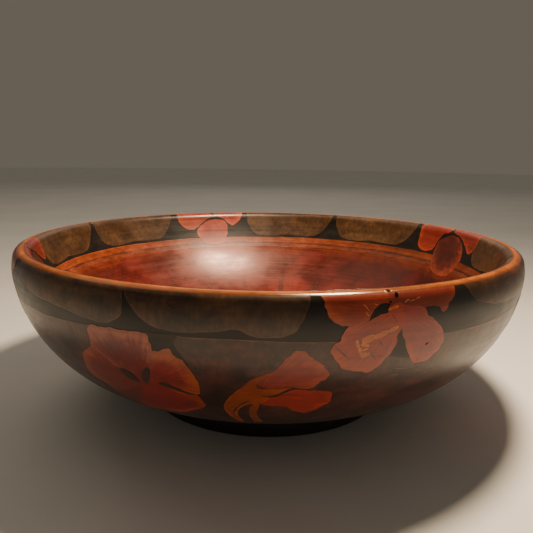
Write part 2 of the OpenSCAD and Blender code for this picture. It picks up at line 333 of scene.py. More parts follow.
def inside_outline(p, outline):
    x, y = p[:, None, 0], p[:, None, 1]
    a, b = outline[None], np.roll(outline, -1, 0)[None]
    crosses = (a[..., 1] > y) != (b[..., 1] > y)
    with np.errstate(divide="ignore", invalid="ignore"):
        at = a[..., 0] + (y - a[..., 1]) * (b[..., 0] - a[..., 0]) / (b[..., 1] - a[..., 1])
    return (np.sum(crosses & (x < at), 1) % 2) == 1


def outline_distance(p, outline):
    a, b = outline, np.roll(outline, -1, 0)
    d = b - a
    out = np.empty(len(p))
    for k in range(0, len(p), 2000):
        q = p[k:k + 2000, None]
        t = np.clip(np.sum((q - a) * d, -1) / np.maximum(1e-12, np.sum(d * d, -1)), 0, 1)
        out[k:k + 2000] = np.min(np.hypot(*np.moveaxis(q - a - d * t[..., None], -1, 0)), 1)
    return out


def fill_rows(lo, hi, gap):
    """Where the rows of a fill go, closer together on the tight curve of the lip."""
    rows = []
    while lo < hi:
        rows.append(lo)
        lo += 0.65 if abs(lo - S_TOP) < 9 else gap * 0.87
    return rows


def filled(outline, gap):
    """Triangles that fill an outline: flat points, then triples of their numbers."""
    lo, hi = outline.min(0), outline.max(0)
    rows = fill_rows(lo[1], hi[1], gap)
    grid = np.array([(x, y) for i, y in enumerate(rows)
                     for x in np.arange(lo[0] + (i % 2) * gap / 2, hi[0], gap)])
    grid = grid[inside_outline(grid, outline)]
    if len(grid):
        grid = grid[outline_distance(grid, outline) > gap * 0.45]
    points = [Vector(p) for p in np.concatenate([outline, grid])]
    made = delaunay_2d_cdt(points, [], [list(range(len(outline)))], 1, 1e-5, False)
    flat = np.array([(p.x, p.y) for p in made[0]])
    triples = np.array([list(f) for f in made[2]])
    a, b, c = (flat[triples[:, k]] for k in range(3))
    area = (b[:, 0] - a[:, 0]) * (c[:, 1] - a[:, 1]) - (b[:, 1] - a[:, 1]) * (c[:, 0] - a[:, 0])
    triples[area < 0] = triples[area < 0][:, ::-1]
    keep = (np.abs(area) > 1e-7) & inside_outline((a + b + c) / 3, outline)
    return flat, triples[keep]


class Figures:
    """Collects painted films that lie on the skin, and makes one piece of them."""

    def __init__(self, lift, thick, gap=1.8, shaky=0.12):
        self.lift, self.thick, self.gap, self.shaky = lift, thick, gap, shaky
        self.points, self.normals, self.faces = [], [], []
        self.values = {}
        self.count = 0

    def add(self, outline, to_skin, base=None, seed=0, limit=None, below=True, lift=None, **values):
        """An outline in flat millimetres, cut off at s = limit. to_skin gives azimuths and places s."""
        outline, length = spaced(outline, self.gap * 0.5)
        if self.shaky:
            along = np.roll(outline, -1, 0) - np.roll(outline, 1, 0)
            across = np.stack([along[:, 1], -along[:, 0]], 1)
            across /= np.maximum(1e-9, np.hypot(*across.T))[:, None]
            outline = outline + across * wobble(len(outline), length, self.shaky, seed)[:, None]
        whole = outline
        if limit is not None:
            outline = spaced(clipped(outline, limit, below), self.gap * 0.5)[0]
        flat, triples = filled(outline, self.gap)
        az, s = to_skin(flat)
        lift = self.lift if lift is None else lift
        upper, normals = on_skin(az, s, lift)
        lower, _ = on_skin(az, s, lift - self.thick)
        n = len(flat)
        edges = dict.fromkeys((int(f[k - 1]), int(f[k])) for f in triples for k in range(3))
        first = self.count
        for f in triples:
            a, b, c = (int(v) + first for v in f)
            self.faces += [[a, b, c], [c + n, b + n, a + n]]
        for (a, b) in edges:
            if (b, a) not in edges:
                self.faces.append([b + first, a + first, a + first + n, b + first + n])
        self.count += 2 * n
        self.points += [upper, lower]
        self.normals += [normals, -normals]
        edge = outline_distance(flat, whole)
        middle = outline.mean(0)
        base = middle if base is None else np.asarray(base, float)
        axis = middle - base
        turn = math.atan2(axis[1], axis[0]) if np.hypot(*axis) > 1e-6 else 0.0
        away = flat - base
        phi = (np.arctan2(away[:, 1], away[:, 0]) - turn + math.pi) % (2 * math.pi) - math.pi
        rho = np.hypot(*away.T)
        reach = float(np.hypot(*(outline - base).T).max())
        own = np.random.default_rng(seed + 77).uniform(0, 1)
        rows = {"edge": edge, "petal": np.stack([phi, rho, np.full(n, own * 10)], 1),
                "outward": rho / reach, "grain": grain_of(upper, s)}
        for key, value in values.items():
            rows[key] = np.tile(np.asarray(value, float), (n, 1)) if np.ndim(value) else np.full(n, value)
        for key, row in rows.items():
            self.values.setdefault(key, []).extend([row, row])

    def piece(self, name):
        values = {k: np.concatenate(v) for k, v in self.values.items()}
        return make_piece(name, np.concatenate(self.points), self.faces, values,
                          np.concatenate(self.normals))


# Azimuths are laid flat at this radius
FLAT_R = 130.0


def wall_flat(points, azimuth, inside=False):
    """Drawn points carried to the wall, as flat millimetres along and up or down it."""
    p = np.asarray(points, float)
    z = np.clip(BOWL_H - p[:, 1], 0, BOWL_H)
    s = s_inside(z) if inside else s_outside(z)
    over = np.minimum(p[:, 1], 0)
    r = np.interp(s, SKIN[:, 0], SKIN[:, 1])
    az = rad(azimuth) + np.arcsin(p[:, 0] / r)
    return np.stack([(az - rad(azimuth)) * FLAT_R, s + (over if inside else -over)], 1)


def draw_on_wall(figures, points, azimuth, inside=False, base=None, limit=None, curved=True, **more):
    points = smooth(points) if curved else spaced(np.asarray(points, float), 1.0)[0]
    flat = wall_flat(points, azimuth, inside)
    limit = limit if limit is not None else lip_s(BAND_IN if inside else BAND_OUT)
    if base is not None:
        base = wall_flat([base], azimuth, inside)[0]
    figures.add(flat, lambda p: (rad(azimuth) + p[:, 0] / FLAT_R, p[:, 1]), base, limit=limit,
                below=not inside, **more)


def ribbon(points, width, ends=(0.25, 0.25)):
    """The outline of a brush stroke along a row of points, thinner at its ends."""
    v = np.asarray(points, float)
    at = walked(v)
    t = np.linspace(0, 1, max(6, int(at[-1] / 0.7)))
    fit = np.polyfit(at / at[-1], v, min(3, len(v) - 1))
    line = sum(row * t[:, None] ** power for power, row in enumerate(fit[::-1]))
    along = np.gradient(line, axis=0)
    across = np.stack([-along[:, 1], along[:, 0]], 1) / np.hypot(*along.T)[:, None]
    swell = ends[0] + (1 - ends[0]) * np.clip(t / 0.35, 0, 1) ** 0.7
    swell *= ends[1] + (1 - ends[1]) * np.clip((1 - t) / 0.35, 0, 1) ** 0.7
    half = (swell * width / 2)[:, None] * across
    return np.concatenate([line + half, (line - half)[::-1]])


SCALLOPS = [
    [(-36, -9), (-35.8, -2), (-35.4, 1.5), (-34.6, 4.1), (-31.1, 9), (-25.9, 13.2), (-21.4, 15),
     (-12, 15.8), (1.1, 14.6), (6.4, 13.5), (10.6, 13.7), (14.6, 15.8), (22.3, 16.3),
     (28.6, 14.8), (32.4, 10.5), (34.7, 3.3), (35, -2), (35, -9)],
    [(-38, -9), (-37.6, -2), (-37, 1.4), (-32.2, 7.3), (-27.5, 9.4), (-14.4, 12.3), (3, 13.4),
     (18.3, 15.3), (26.1, 16.1), (31.9, 15.9), (36.3, 14.2), (39.4, 11.8), (40.3, 8), (39.6, 2),
     (39.2, -2), (39.2, -9)]]
RIM_PETALS = [
    [(-29, -9), (-29, -2), (-28.2, 2), (-27.1, 4.8), (-25.9, 9.5), (-22.8, 11.2), (-18.3, 12.1),
     (-12, 11.2), (-10.4, 9.2), (-8.5, 6), (-5.9, 4.3), (-2.6, 4.2), (-1.6, -2), (-1.6, -9)],
    [(-2.2, -9), (-2.2, -2), (-2.8, 4.6), (1, 6.4), (7.6, 7.4), (11.9, 7.8), (16.3, 7.2),
     (20.5, 8), (21.7, 10.2), (24.1, 9.4), (25, 7.2), (27.8, 5.4), (29, -2), (29, -9)],
    [(-24.6, 22.3), (-22.9, 18.7), (-21.1, 18), (-20.3, 14.3), (-18.3, 11.7), (-14.5, 11.2),
     (-11.3, 10.7), (-6.7, 8.7), (-3.4, 7.4), (-2.6, 5.4), (1.5, 5), (4, 8.5), (4.6, 12),
     (3.1, 14.6), (1.8, 17.4), (1.5, 21.6), (0.5, 25.2), (-2.1, 27.9), (-5.3, 31.8),
     (-7.7, 33.1), (-11.5, 31.9), (-17.9, 30.5), (-20.2, 27.7), (-22.6, 24.9)],
    [(0.5, 5.5), (7.6, 6.2), (11.9, 7), (14.9, 10.3), (18.6, 13.1), (22.9, 17.3), (25.5, 21.4),
     (24.7, 25.8), (22.1, 28.5), (18.7, 31.1), (13.6, 31.3), (10.8, 29.7), (8.6, 25.5),
     (4.7, 19.1), (3.1, 14.8), (1.4, 10)]]
RIM_STAMEN = [
    (2.4, 13.2), (1.8, 15), (-1.6, 16.4), (-6.3, 18.1), (-9.4, 19.3), (-12, 20.6),
    (-11.2, 23.2), (-8, 23.4), (-8, 24.8), (-11.4, 26), (-13.8, 23.4), (-15, 20), (-15.4, 17.8),
    (-13.1, 17), (-9.2, 16.5), (-4.6, 14.9), (-0.6, 13.5)]
SIDE_PETALS = [
    [(-21, 18.6), (-11.5, 18), (-4.5, 17.7), (2, 17.6), (6.7, 18), (7.8, 20.5), (8.6, 24.1),
     (8.2, 28), (5.9, 32.4), (3, 36), (0, 40.5), (-1.2, 43.4), (-3.2, 39.5), (-5.8, 37),
     (-10.2, 36.7), (-13.1, 34.8), (-16, 32.5), (-19.8, 30.2), (-22, 28.7), (-21.6, 24.2)],
    [(-29, 32.8), (-25, 30.4), (-21.5, 28.2), (-15, 31), (-10, 36), (-5, 40.5), (-1.2, 43.8),
     (-6, 48), (-14, 52), (-20.9, 53.4), (-24.5, 50), (-28.4, 48), (-32.4, 45), (-31.5, 38.8)],
    [(8.4, 25.6), (11.2, 25), (13.9, 23.2), (16.2, 23.6), (17.4, 26.1), (19.9, 27.7),
     (22, 31.4), (23.5, 34.7), (24.2, 37.4), (23.4, 42), (22.4, 44.8), (16, 45), (8, 44),
     (0, 44.6), (-1.4, 43.6), (1, 40.5), (4, 36), (5.7, 31)],
    [(-1.5, 43), (2.6, 42.5), (8, 42), (14.3, 43.5), (18.5, 45), (21.7, 46), (22.8, 49.9),
     (20.6, 53.2), (13.7, 56.9), (6, 60.6), (-2.3, 61), (-10.5, 63.5), (-11, 58), (-5, 49)],
    [(-21.5, 52), (-14, 49), (-7.5, 46), (-1.4, 43.5), (-2, 50), (-6, 58), (-10.6, 64.3),
     (-17.2, 66.6), (-17.4, 61), (-20.2, 57.2)]]
SIDE_SLITS = [
    [(-10.2, 36.9), (-6.8, 36.5), (-4.7, 38.8), (-1.8, 42.6), (-5.6, 42.2), (-9.1, 40.6)],
    [(3.7, 33.3), (5.1, 33.9), (3.9, 37.8), (0.9, 42.4), (-0.6, 41), (-0.3, 37.9), (1.4, 35.3)],
    [(6, 41.4), (8.1, 40.2), (11.1, 40.5), (14.2, 42.1), (18.3, 44), (21.4, 44.8), (18, 45.2),
     (13.6, 43.8), (9.9, 42.3)]]
# Brush strokes, each a row of points and a width
STAMEN_DABS = [
    ([(1.6, 13.9), (-2.4, 15.6)], 1.8), ([(-2.6, 15.3), (-8, 17.5)], 2.3),
    ([(-7.9, 16.9), (-12.9, 18.9)], 2.9), ([(-14.9, 17.9), (-13.7, 21.6)], 1.3),
    ([(-13.6, 21.2), (-11.2, 26)], 1.2), ([(-11.4, 25.6), (-8.6, 23.7)], 1.0),
    ([(-13.2, 19.8), (-9.4, 20.6)], 1.2), ([(-12.6, 22.5), (-10, 21.9)], 0.9),
    ([(-12, 24.2), (-9.6, 24)], 0.8), ([(-3.5, 6.8), (1.1, 5.8)], 1.1)]
PETAL_VEINS = [
    ([(-23.4, 20), (-19.4, 23.6), (-15.5, 27)], 0.42), ([(-9.8, 22.5), (-7.1, 25.3), (-5.2, 27.9)], 0.42),
    ([(-5.9, 18.5), (-3.6, 22)], 0.42), ([(-1.7, 8.5), (1, 12.5)], 0.42)]
BUD_SLITS = [
    ([(-5.9, 43.2), (-2.9, 43.6), (0.9, 42), (4.1, 39.8), (6.4, 38.4)], 0.9),
    ([(-17, 57), (-16.4, 52), (-14, 48.6), (-10, 46)], 0.6)]
SCRATCHES = [
    ([(3.9, 4.7), (5.5, 3.6)], 0.5), ([(5.5, 3.6), (5.9, 4.5)], 0.4), ([(6.2, 4.4), (8.6, 3.9)], 0.35),
    ([(8.8, 4.0), (11.0, 3.1)], 0.4), ([(-13.6, 4.0), (-11.8, 5.8), (-10.8, 7.3)], 0.35),
    ([(-12.4, 6.9), (-11.2, 9.0)], 0.3), ([(-9.0, 4.2), (-7.6, 4.9)], 0.3)]
FIELD_RUBS = [
    ([(3, 32.6), (12, 34.0)], 0.26), ([(7, 35.0), (18, 34.2)], 0.26), ([(12, 36.4), (22, 35.4)], 0.26),
    ([(2, 35.6), (8, 36.4)], 0.26), ([(15, 33.2), (20, 32.4)], 0.26), ([(20, 38.4), (28, 36.0)], 0.26)]
BUD_PETALS = [
    [(5, 22.2), (8.3, 21.6), (11.7, 24), (14.6, 26.3), (17, 29.2), (19.2, 32.8), (18.7, 34.4),
     (15.5, 36.6), (13.7, 38.4), (10.4, 39.4), (5.5, 38.4), (-1.2, 39), (-6.9, 38.7),
     (-8.2, 36.8), (-6.1, 34.2), (-3.3, 31.7), (-0.2, 28.8), (2.5, 24.9)],
    [(-2.5, 44.6), (0.9, 42.8), (4.6, 40.4), (7, 39.8), (10.4, 40.2), (15.4, 40.6),
     (19.4, 41.3), (21.2, 42.8), (21.6, 45.6), (20, 48.6), (16, 52), (11.9, 55),
     (7, 52.6), (4.3, 50.2), (0.8, 49.4), (-2.7, 49), (-6, 48.2), (-6.8, 45.9)]]
BUD_STEM = [
    (-3.3, 31.7), (-7.1, 33), (-10.8, 35.3), (-14.1, 39), (-17.5, 42.7), (-20.6, 48.4),
    (-21, 51.9), (-19.4, 56.7), (-16.4, 61.3), (-14.4, 65), (-13.5, 63), (-15, 58.5),
    (-15.6, 54.3), (-14, 50.5), (-11, 48.2), (-6.5, 47.6), (-4, 45.6), (0.8, 41.3), (5.5, 38.5),
    (-1, 39.2), (-6, 39.4), (-8.4, 37.8), (-7, 34.8)]
BUD_CURL = [
    (-8.2, 47), (-9.9, 49.1), (-10.9, 52.7), (-10.3, 57.9), (-8.4, 63.2), (-5.2, 63.3),
    (-6.9, 58.8), (-7.9, 54.4), (-6.8, 49)]
SIDE_PATCH = [
    (6, 17.3), (12, 17.2), (19.7, 17.1), (19.3, 18.6), (18, 20.8), (19.5, 24), (21, 27), (22.6, 30.4),
    (20, 29.4), (16, 27), (11, 26.4), (7.4, 27), (7, 22)]
RIM_PATCH = [(2.2, 13), (0.4, 20), (0, 26), (5.1, 27.4), (10.4, 27.6), (7, 20)]
INNER_SCALLOP = [
    (-35, -9), (-34.6, 1.5), (-32, 6.2), (-27.5, 12), (-21, 16.3), (-10, 17), (1.8, 16.4),
    (12, 17.4), (22, 17.2), (29, 14.3), (33, 8), (34.6, 2), (35, -9)]
INNER_PETALS = [
    [[(29.5, -9), (29.5, -2), (28.4, 5.5), (25, 9.4), (19.8, 12.2), (14.9, 11.2), (9.7, 7.6),
      (4.5, 4.2), (1, 2.5), (0.5, -2), (0.5, -9)],
     [(13.2, 11.8), (14.2, 14.4), (12.9, 17.5), (9.4, 21.9), (4.9, 23.3), (-4.6, 23.5),
      (-8.2, 20.1), (-10.6, 15.1), (-11, 10.1), (-9, 6.2), (-4.3, 4.9), (3, 5.4), (9, 8.3)],
     [(-25, -9), (-25, -2), (-23.5, 2.5), (-21.2, 5.7), (-16.1, 9.5), (-12.3, 8.2), (-8.4, 4.8),
      (-4.4, 3), (-0.4, 2), (-0.2, -2), (-0.2, -9)]],
    [[(30, -9), (30.5, -2), (30, 4), (27.6, 13.3), (23.5, 16.6), (18.7, 17.2), (12.8, 15),
      (11, 9.5), (8, 4.5), (2, 2), (1, -2), (1, -9)],
     [(9.8, 9), (10.4, 15.4), (9, 20), (6, 26), (-2, 29), (-14, 28), (-19.8, 18.5), (-15.6, 9.6),
      (-9, 5), (0, 4)],
     [(-30.5, -9), (-31, -2), (-30.6, 5), (-26, 12.2), (-18.4, 8.8), (-12.4, 5), (-6, 3),
      (-1, 1.5), (0, -2), (0, -9)]]]


def repeats():
    """The four repeats of the pattern: a number and a turn in degrees."""
    return [(k, k * STEP) for k in range(4)]


def colour(r, g, b):
    """Display values of 0 to 255 as linear ones."""
    def one(v):
        v /= 255
        return v / 12.92 if v <= 0.04045 else ((v + 0.055) / 1.055) ** 2.4
    return (one(r), one(g), one(b), 1.0)


def shown(value):
    """A socket as it is, and display values as a linear colour."""
    return colour(*value) if isinstance(value, tuple) else value


# ---- Materials ----

# Coat, its roughness, the shine under it and that shine's colour: the floor's deep red varnish
FLOOR_GLOSS = (0.12, 0.20, 0.6, (1.0, 0.62, 0.56, 1.0))
# The same for the amber varnish of the lip
LIP_GLOSS = (0.18, 0.10, 0.6, (1.0, 0.70, 0.42, 1.0))


class Graph:
    """A short way to write shader nodes. Colours are given as display values."""

    def __init__(self, name, coat=0.0, coat_roughness=0.22, specular=0.5, tint=(1, 1, 1, 1)):
        self.material = bpy.data.materials.new(name)
        self.material.use_nodes = True
        self.nodes = self.material.node_tree.nodes
        self.links = self.material.node_tree.links
        self.shader = self.nodes["Principled BSDF"]
        values = {"Specular IOR Level": specular, "Specular Tint": tint, "Coat Weight": coat,
                  "Coat Roughness": coat_roughness}
        for key, value in values.items():
            self.shader.inputs[key].default_value = value
        self.grain = self.attribute("grain")

    def put(self, socket, value):
        if isinstance(value, bpy.types.NodeSocket):
            self.links.new(value, socket)
        else:
            socket.default_value = value

    def node(self, kind, inputs, output, **settings):
        """Adds a node with these settings and inputs, and gives one of its outputs."""
        made = self.nodes.new("ShaderNode" + kind)
        for key, value in settings.items():
            setattr(made, key, value)
        for key, value in inputs.items():
            self.put(made.inputs[key], value)
        return made.outputs[output]

    def attribute(self, name, output="Vector"):
        return self.node("Attribute", {}, output, attribute_name=name)

    def part(self, vector, axis):
        return self.node("SeparateXYZ", {0: vector}, axis)

    def place(self):
        """The place s of a point of a coat, in millimetres."""
        return self.mul(self.part(self.grain, "Z"), 1000)

    def math(self, operation, a, b=0.0):
        return self.node("Math", {0: a, 1: b}, 0, operation=operation)

    def add(self, a, b):
        return self.math("ADD", a, b)

    def sub(self, a, b):
        return self.math("SUBTRACT", a, b)

    def mul(self, a, b):
        return self.math("MULTIPLY", a, b)

    def noise(self, scale, shift=(0, 0, 0), detail=2.0, rough=0.5, distortion=0.0, vector=None):
        """Noise over the grain, or over another vector."""
        over = {0: self.grain if vector is None else vector, 1: scale, 2: shift}
        inputs = {"Vector": self.node("VectorMath", over, 0, operation="MULTIPLY_ADD"), "Scale": 1.0,
                  "Detail": detail, "Roughness": rough, "Distortion": distortion}
        return self.node("TexNoise", inputs, "Fac")

    def span(self, value, lo, hi, to_lo=0.0, to_hi=1.0, soft=True):
        inputs = {"Value": value, "From Min": lo, "From Max": hi, "To Min": to_lo, "To Max": to_hi}
        kind = "SMOOTHSTEP" if soft else "LINEAR"
        return self.node("MapRange", inputs, "Result", interpolation_type=kind)

    def shaken(self, value, noise, amount, soft=False):
        """A value moved up or down by noise."""
        return self.add(value, self.span(noise, 0.3, 0.7, -amount, amount, soft))

    def mix(self, factor, a, b):
        return self.node("Mix", {"Factor": factor, 6: shown(a), 7: shown(b)}, 2, data_type="RGBA")

    def shade(self, base, amount):
        """A colour made lighter or darker by a factor."""
        return self.node("VectorMath", {0: base, "Scale": amount}, 0, operation="SCALE")

    def bump(self, height, strength, distance, below=None):
        inputs = {"Height": height, "Strength": strength, "Distance": distance}
        if below is not None:
            inputs["Normal"] = below
        return self.node("Bump", inputs, 0)

    def finish(self, base, roughness, normal):
        for key, value in (("Base Color", base), ("Roughness", roughness), ("Normal", normal)):
            self.put(self.shader.inputs[key], value)
        return self.material


def varnish(g, base, rough=(0.30, 0.46), dirt=0.35):
    """The worn varnish over every painted surface: grime, faint rubbing and fine turning marks."""
    wide = g.noise((9, 9, 420), (0, 0, 0), 3, 0.6)
    fine = g.noise((22, 22, 1500), (3, 1, 7))
    marks = g.add(g.mul(wide, 0.55), g.mul(fine, 0.45))
    cloud = g.noise((45, 45, 60), (5, 2, 9), 4, 0.6, 0.4)
    speck = g.noise((420, 420, 620), (1, 8, 3), 2, 0.7)
    base = g.shade(base, g.span(marks, 0.32, 0.68, 0.67, 0.98))
    base = g.shade(base, g.span(cloud, 0.30, 0.72, 1.0 - dirt, 1.0 + dirt * 0.6))
    base = g.mix(g.span(speck, 0.69, 0.76, 0.0, 0.6), base, (16, 9, 5))
    worn = g.add(g.mul(cloud, 0.6), g.mul(marks, 0.4))
    ripple = g.noise((120, 120, 160), (4, 4, 1))
    normal = g.bump(ripple, 0.10, 0.0004, g.bump(marks, 0.22, 0.00012))
    return g.finish(base, g.span(worn, 0.35, 0.65, *rough), normal)


def ground_material():
    g = Graph("painted_ground", 0.12, specular=0.4)
    patch = g.noise((38, 38, 90), (2, 7, 4), 5, 0.65)
    return varnish(g, g.mix(g.span(patch, 0.52, 0.72, 0.0, 0.75), (20, 15, 12), (44, 27, 17)))


def patch_material():
    """Black gaps between figures that fade into the brown field round them."""
    g = Graph("ground_patch", 0.12, specular=0.4)
    patch = g.noise((90, 90, 130), (5, 5, 5), 4, 0.65)
    inward = g.shaken(g.attribute("edge", "Fac"), patch, 1.2)
    return varnish(g, g.mix(g.span(inward, 0.0, 2.6), (46, 30, 23), (24, 17, 13)))


def rim_material():
    """Orange brown, duller at its edges, with small nicks, and darker on the outer side of the lip: partly
    the band's own colour, partly painted shade of the side turned away from the lamp.
    """
    g = Graph("rim_orange_brown", *LIP_GLOSS)
    patch = g.noise((60, 60, 160), (7, 3, 2), 4, 0.65, 0.3)
    base = g.mix(g.span(patch, 0.35, 0.65), (168, 86, 18), (198, 112, 28))
    dull = g.noise((110, 110, 420), (1, 5, 8), 4, 0.7)
    base = g.mix(g.span(dull, 0.60, 0.74, 0.0, 0.75), base, (96, 42, 14))
    edge = g.add(g.attribute("edge", "Fac"), g.mul(dull, -0.5))
    base = g.mix(g.span(edge, -0.3, 1.3, 0.8, 0.0), base, (110, 46, 18))
    # Partly painted shade: darker brown over the lip's outer side, which faces away from the light.
    over = g.shaken(g.sub(g.place(), lip_s(BAND_OUT)), patch, 0.6)
    base = g.mix(g.span(over, 0.6, 2.8, 0.65, 0.0), base, (98, 44, 14))
    nick = g.noise((300, 300, 700), (6, 6, 1), 1)
    base = g.mix(g.span(nick, 0.80, 0.84, 0.0, 0.8), base, (235, 190, 130))
    return varnish(g, base, (0.15, 0.28), 0.22)


def comb_material(name, light, dark, rim, rim_w, warm, deep=None):
    """Flat areas brushed over with a darker glaze: scallops, and the lower field, whose colour is made
    darker towards the foot.
    """
    g = Graph(name, 0.22)
    cloud = g.noise((85, 85, 120), (3, 9, 6), 5, 0.62, 0.6)
    base = g.mix(g.span(cloud, 0.34, 0.66), dark, light)
    stain = g.noise((34, 34, 52), (8, 1, 3), 4, 0.6, 0.8)
    base = g.mix(g.span(stain, 0.54, 0.70, 0.0, 0.7), base, warm)
    if deep is not None:
        up = g.shaken(g.place(), cloud, 8, soft=True)
        base = g.mix(g.span(up, 10, 40, 0.85, 0.0), base, deep)
    comb = g.noise((620, 620, 210), (2, 2, 2))
    base = g.shade(base, g.span(comb, 0.35, 0.65, 0.76, 1.14))
    loose = g.shaken(g.attribute("edge", "Fac"), g.noise((260, 260, 260)), 0.3, soft=True)
    return varnish(g, g.mix(g.span(loose, rim_w * 0.4, rim_w, 0.5, 0.0), base, rim))


def petal_material(name, vein_dark=0.55, vein_light=0.3):
    """Petals shade from a core colour to a rim colour, with strokes that fan out from the base."""
    g = Graph(name, 0.30)
    petal = g.attribute("petal")
    edge = g.attribute("edge", "Fac")
    out = g.attribute("outward", "Fac")
    core = g.attribute("core", "Color")
    rim = g.attribute("rim", "Color")

    def vein(scale, shift, middle, strength):
        away = g.math("ABSOLUTE", g.sub(g.noise(scale, shift, vector=petal), middle))
        return g.span(away, 0.003, 0.014, strength, 0.0)

    fan = g.noise((9, 0.045, 1), (0, 0, 0), 3, 0.6, vector=petal)
    fine = g.noise((30, 0.06, 1), (4, 0, 2), 2, 0.6, vector=petal)
    cloud = g.noise((90, 90, 130), (1, 2, 5), 4, 0.6, 0.5)
    reach = g.math("DIVIDE", edge, g.attribute("rim_w", "Fac"))
    reach = g.shaken(g.shaken(reach, fan, 0.35), cloud, 0.45)
    reach = g.add(reach, g.span(out, 0.15, 0.85, 1.1, 0.0, soft=False))
    base = g.mix(g.span(reach, 0.0, 1.3), rim, core)
    base = g.shade(base, g.span(fine, 0.3, 0.7, 0.90, 1.10))
    here = g.span(g.noise((70, 70, 90), (7, 7, 2), 2, 0.6), 0.45, 0.62)
    line = g.mul(vein((6.5, 0.05, 1), (9, 3, 1), 0.5, vein_dark), here)
    base = g.mix(line, base, g.shade(core, 0.30))
    pale = g.mul(vein((11, 0.05, 1), (2, 5, 6), 0.47, vein_light), g.sub(1.0, here))
    base = g.mix(pale, base, g.shade(rim, 1.4))
    edge_line = g.mul(g.span(edge, 0.10, 0.5, 0.32, 0.0), g.span(cloud, 0.42, 0.60))
    base = g.mix(g.mul(edge_line, g.span(out, 0.3, 0.6)), base, g.shade(rim, 1.3))
    return varnish(g, base, dirt=0.28)


def line_material(name, tone, dark, coat=0.30, specular=0.5, shade_one_side=False):
    g = Graph(name, coat, specular=specular)
    brush = g.noise((150, 150, 500), (2, 6, 3), 4, 0.65)
    base = g.mix(g.span(brush, 0.35, 0.68), dark, tone)
    # When asked for, painted shade darkens this line towards +X.
    return varnish(g, painted_shade_towards_x(g, base) if shade_one_side else base, dirt=0.25)


def painted_shade_towards_x(g, base):
    """Painted shade: the floor and the ring made darker towards +X, standing in for the weaker light on
    that side.
    """
    return g.shade(base, g.span(g.part(g.grain, "X"), 0.005, 0.095, 1.0, 0.45))


def floor_tone(g, ring_s):
    """The floor's own colour, dull red and warmer next to the ring, and its cloudiness."""
    cloud = g.noise((40, 40, 46), (6, 2, 1), 5, 0.62, 0.7)
    base = g.mix(g.span(cloud, 0.34, 0.68), (80, 26, 18), (110, 29, 19))
    near = g.shaken(g.sub(g.place(), ring_s), cloud, 7)
    return g.mix(g.span(near, 0, 17, 0.8, 0.0), base, (158, 66, 26)), cloud


def floor_material(ring_s):
    g = Graph("floor_maroon", *FLOOR_GLOSS)
    # Painted shade: the floor is made darker towards +X.
    return varnish(g, painted_shade_towards_x(g, floor_tone(g, ring_s)[0]), (0.26, 0.42))


def floor_petal_material(ring_s):
    """Long floor petals: red near the middle, lost in the floor's colour at the tip, dark between."""
    g = Graph("floor_red", *FLOOR_GLOSS)
    field, cloud = floor_tone(g, ring_s)
    out = g.shaken(g.attribute("outward", "Fac"), cloud, 0.10)
    streak = g.noise((26, 0.02, 1), (0, 0, 0), 3, 0.6, vector=g.attribute("petal"))
    core = g.attribute("core", "Color")
    red = g.mix(g.span(streak, 0.35, 0.65), g.shade(core, 0.72), core)
    base = g.mix(g.span(out, 0.62, 0.92), red, field)
    edge = g.shaken(g.attribute("edge", "Fac"), streak, 0.6)
    dark = g.mul(g.span(edge, 0.3, 2.2, 0.85, 0.0), g.span(out, 0.80, 1.0, 1.0, 0.0))
    # Painted shade: the floor petals are made darker towards +X.
    return varnish(g, painted_shade_towards_x(g, g.mix(dark, base, (58, 24, 18))), (0.26, 0.42))


def wood_material():
    g = Graph("turned_wood")
    rings = g.noise((60, 22, 40), (0, 0, 0), 5, 0.6, 1.5)
    fibre = g.noise((900, 60, 900), (0, 0, 0), 2, 0.6)
    base = g.mix(g.span(rings, 0.35, 0.65), (176, 126, 76), (206, 160, 106))
    base = g.shade(base, g.span(fibre, 0.3, 0.7, 0.85, 1.1))
    return g.finish(base, g.span(fibre, 0.3, 0.7, 0.5, 0.7), g.bump(fibre, 0.3, 0.0002))


def foot_material():
    """Black, rubbed through to brown low down."""
    g = Graph("foot_black", 0.15, 0.3)
    height = g.part(g.node("NewGeometry", {}, "Position"), "Z")
    low = g.add(g.mul(height, 420), g.noise((140, 140, 200), (3, 3, 8), 4, 0.7))
    base = g.mix(g.span(low, 0.55, 1.1, 0.8, 0.0), (20, 15, 12), (92, 58, 32))
    return varnish(g, base, (0.40, 0.6), 0.3)


# ---- Pieces ----

def settle(piece, material, slot, *nodes):
    piece.data.materials.append(material)
    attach(piece, "root")
    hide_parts(*nodes)


def skin_row(lo, hi, row):
    """Points of the wood's own surface, under the coats, as (r, z)."""
    s = np.linspace(lo, hi, max(3, int((hi - lo) / row)))
    points, _ = on_skin(np.zeros(len(s)), s, -COAT_T)
    return [(-p[1], p[2]) for p in points]


# Beetle holes in the lip: azimuth, height, width and depth of each
BORES = [(19.2, 92.05, 1.7, 5.0), (20.6, 90.9, 1.9, 6.0), (19.1, 88.1, 0.9, 4.0)]


def cut_away(piece, cutter):
    cut = piece.modifiers.new("bore", "BOOLEAN")
    cut.operation = "DIFFERENCE"
    cut.solver = "EXACT"
    cut.object = cutter
    bpy.context.view_layer.update()
    made = bpy.data.meshes.new_from_object(piece.evaluated_get(bpy.context.evaluated_depsgraph_get()))
    piece.modifiers.clear()
    piece.data = made


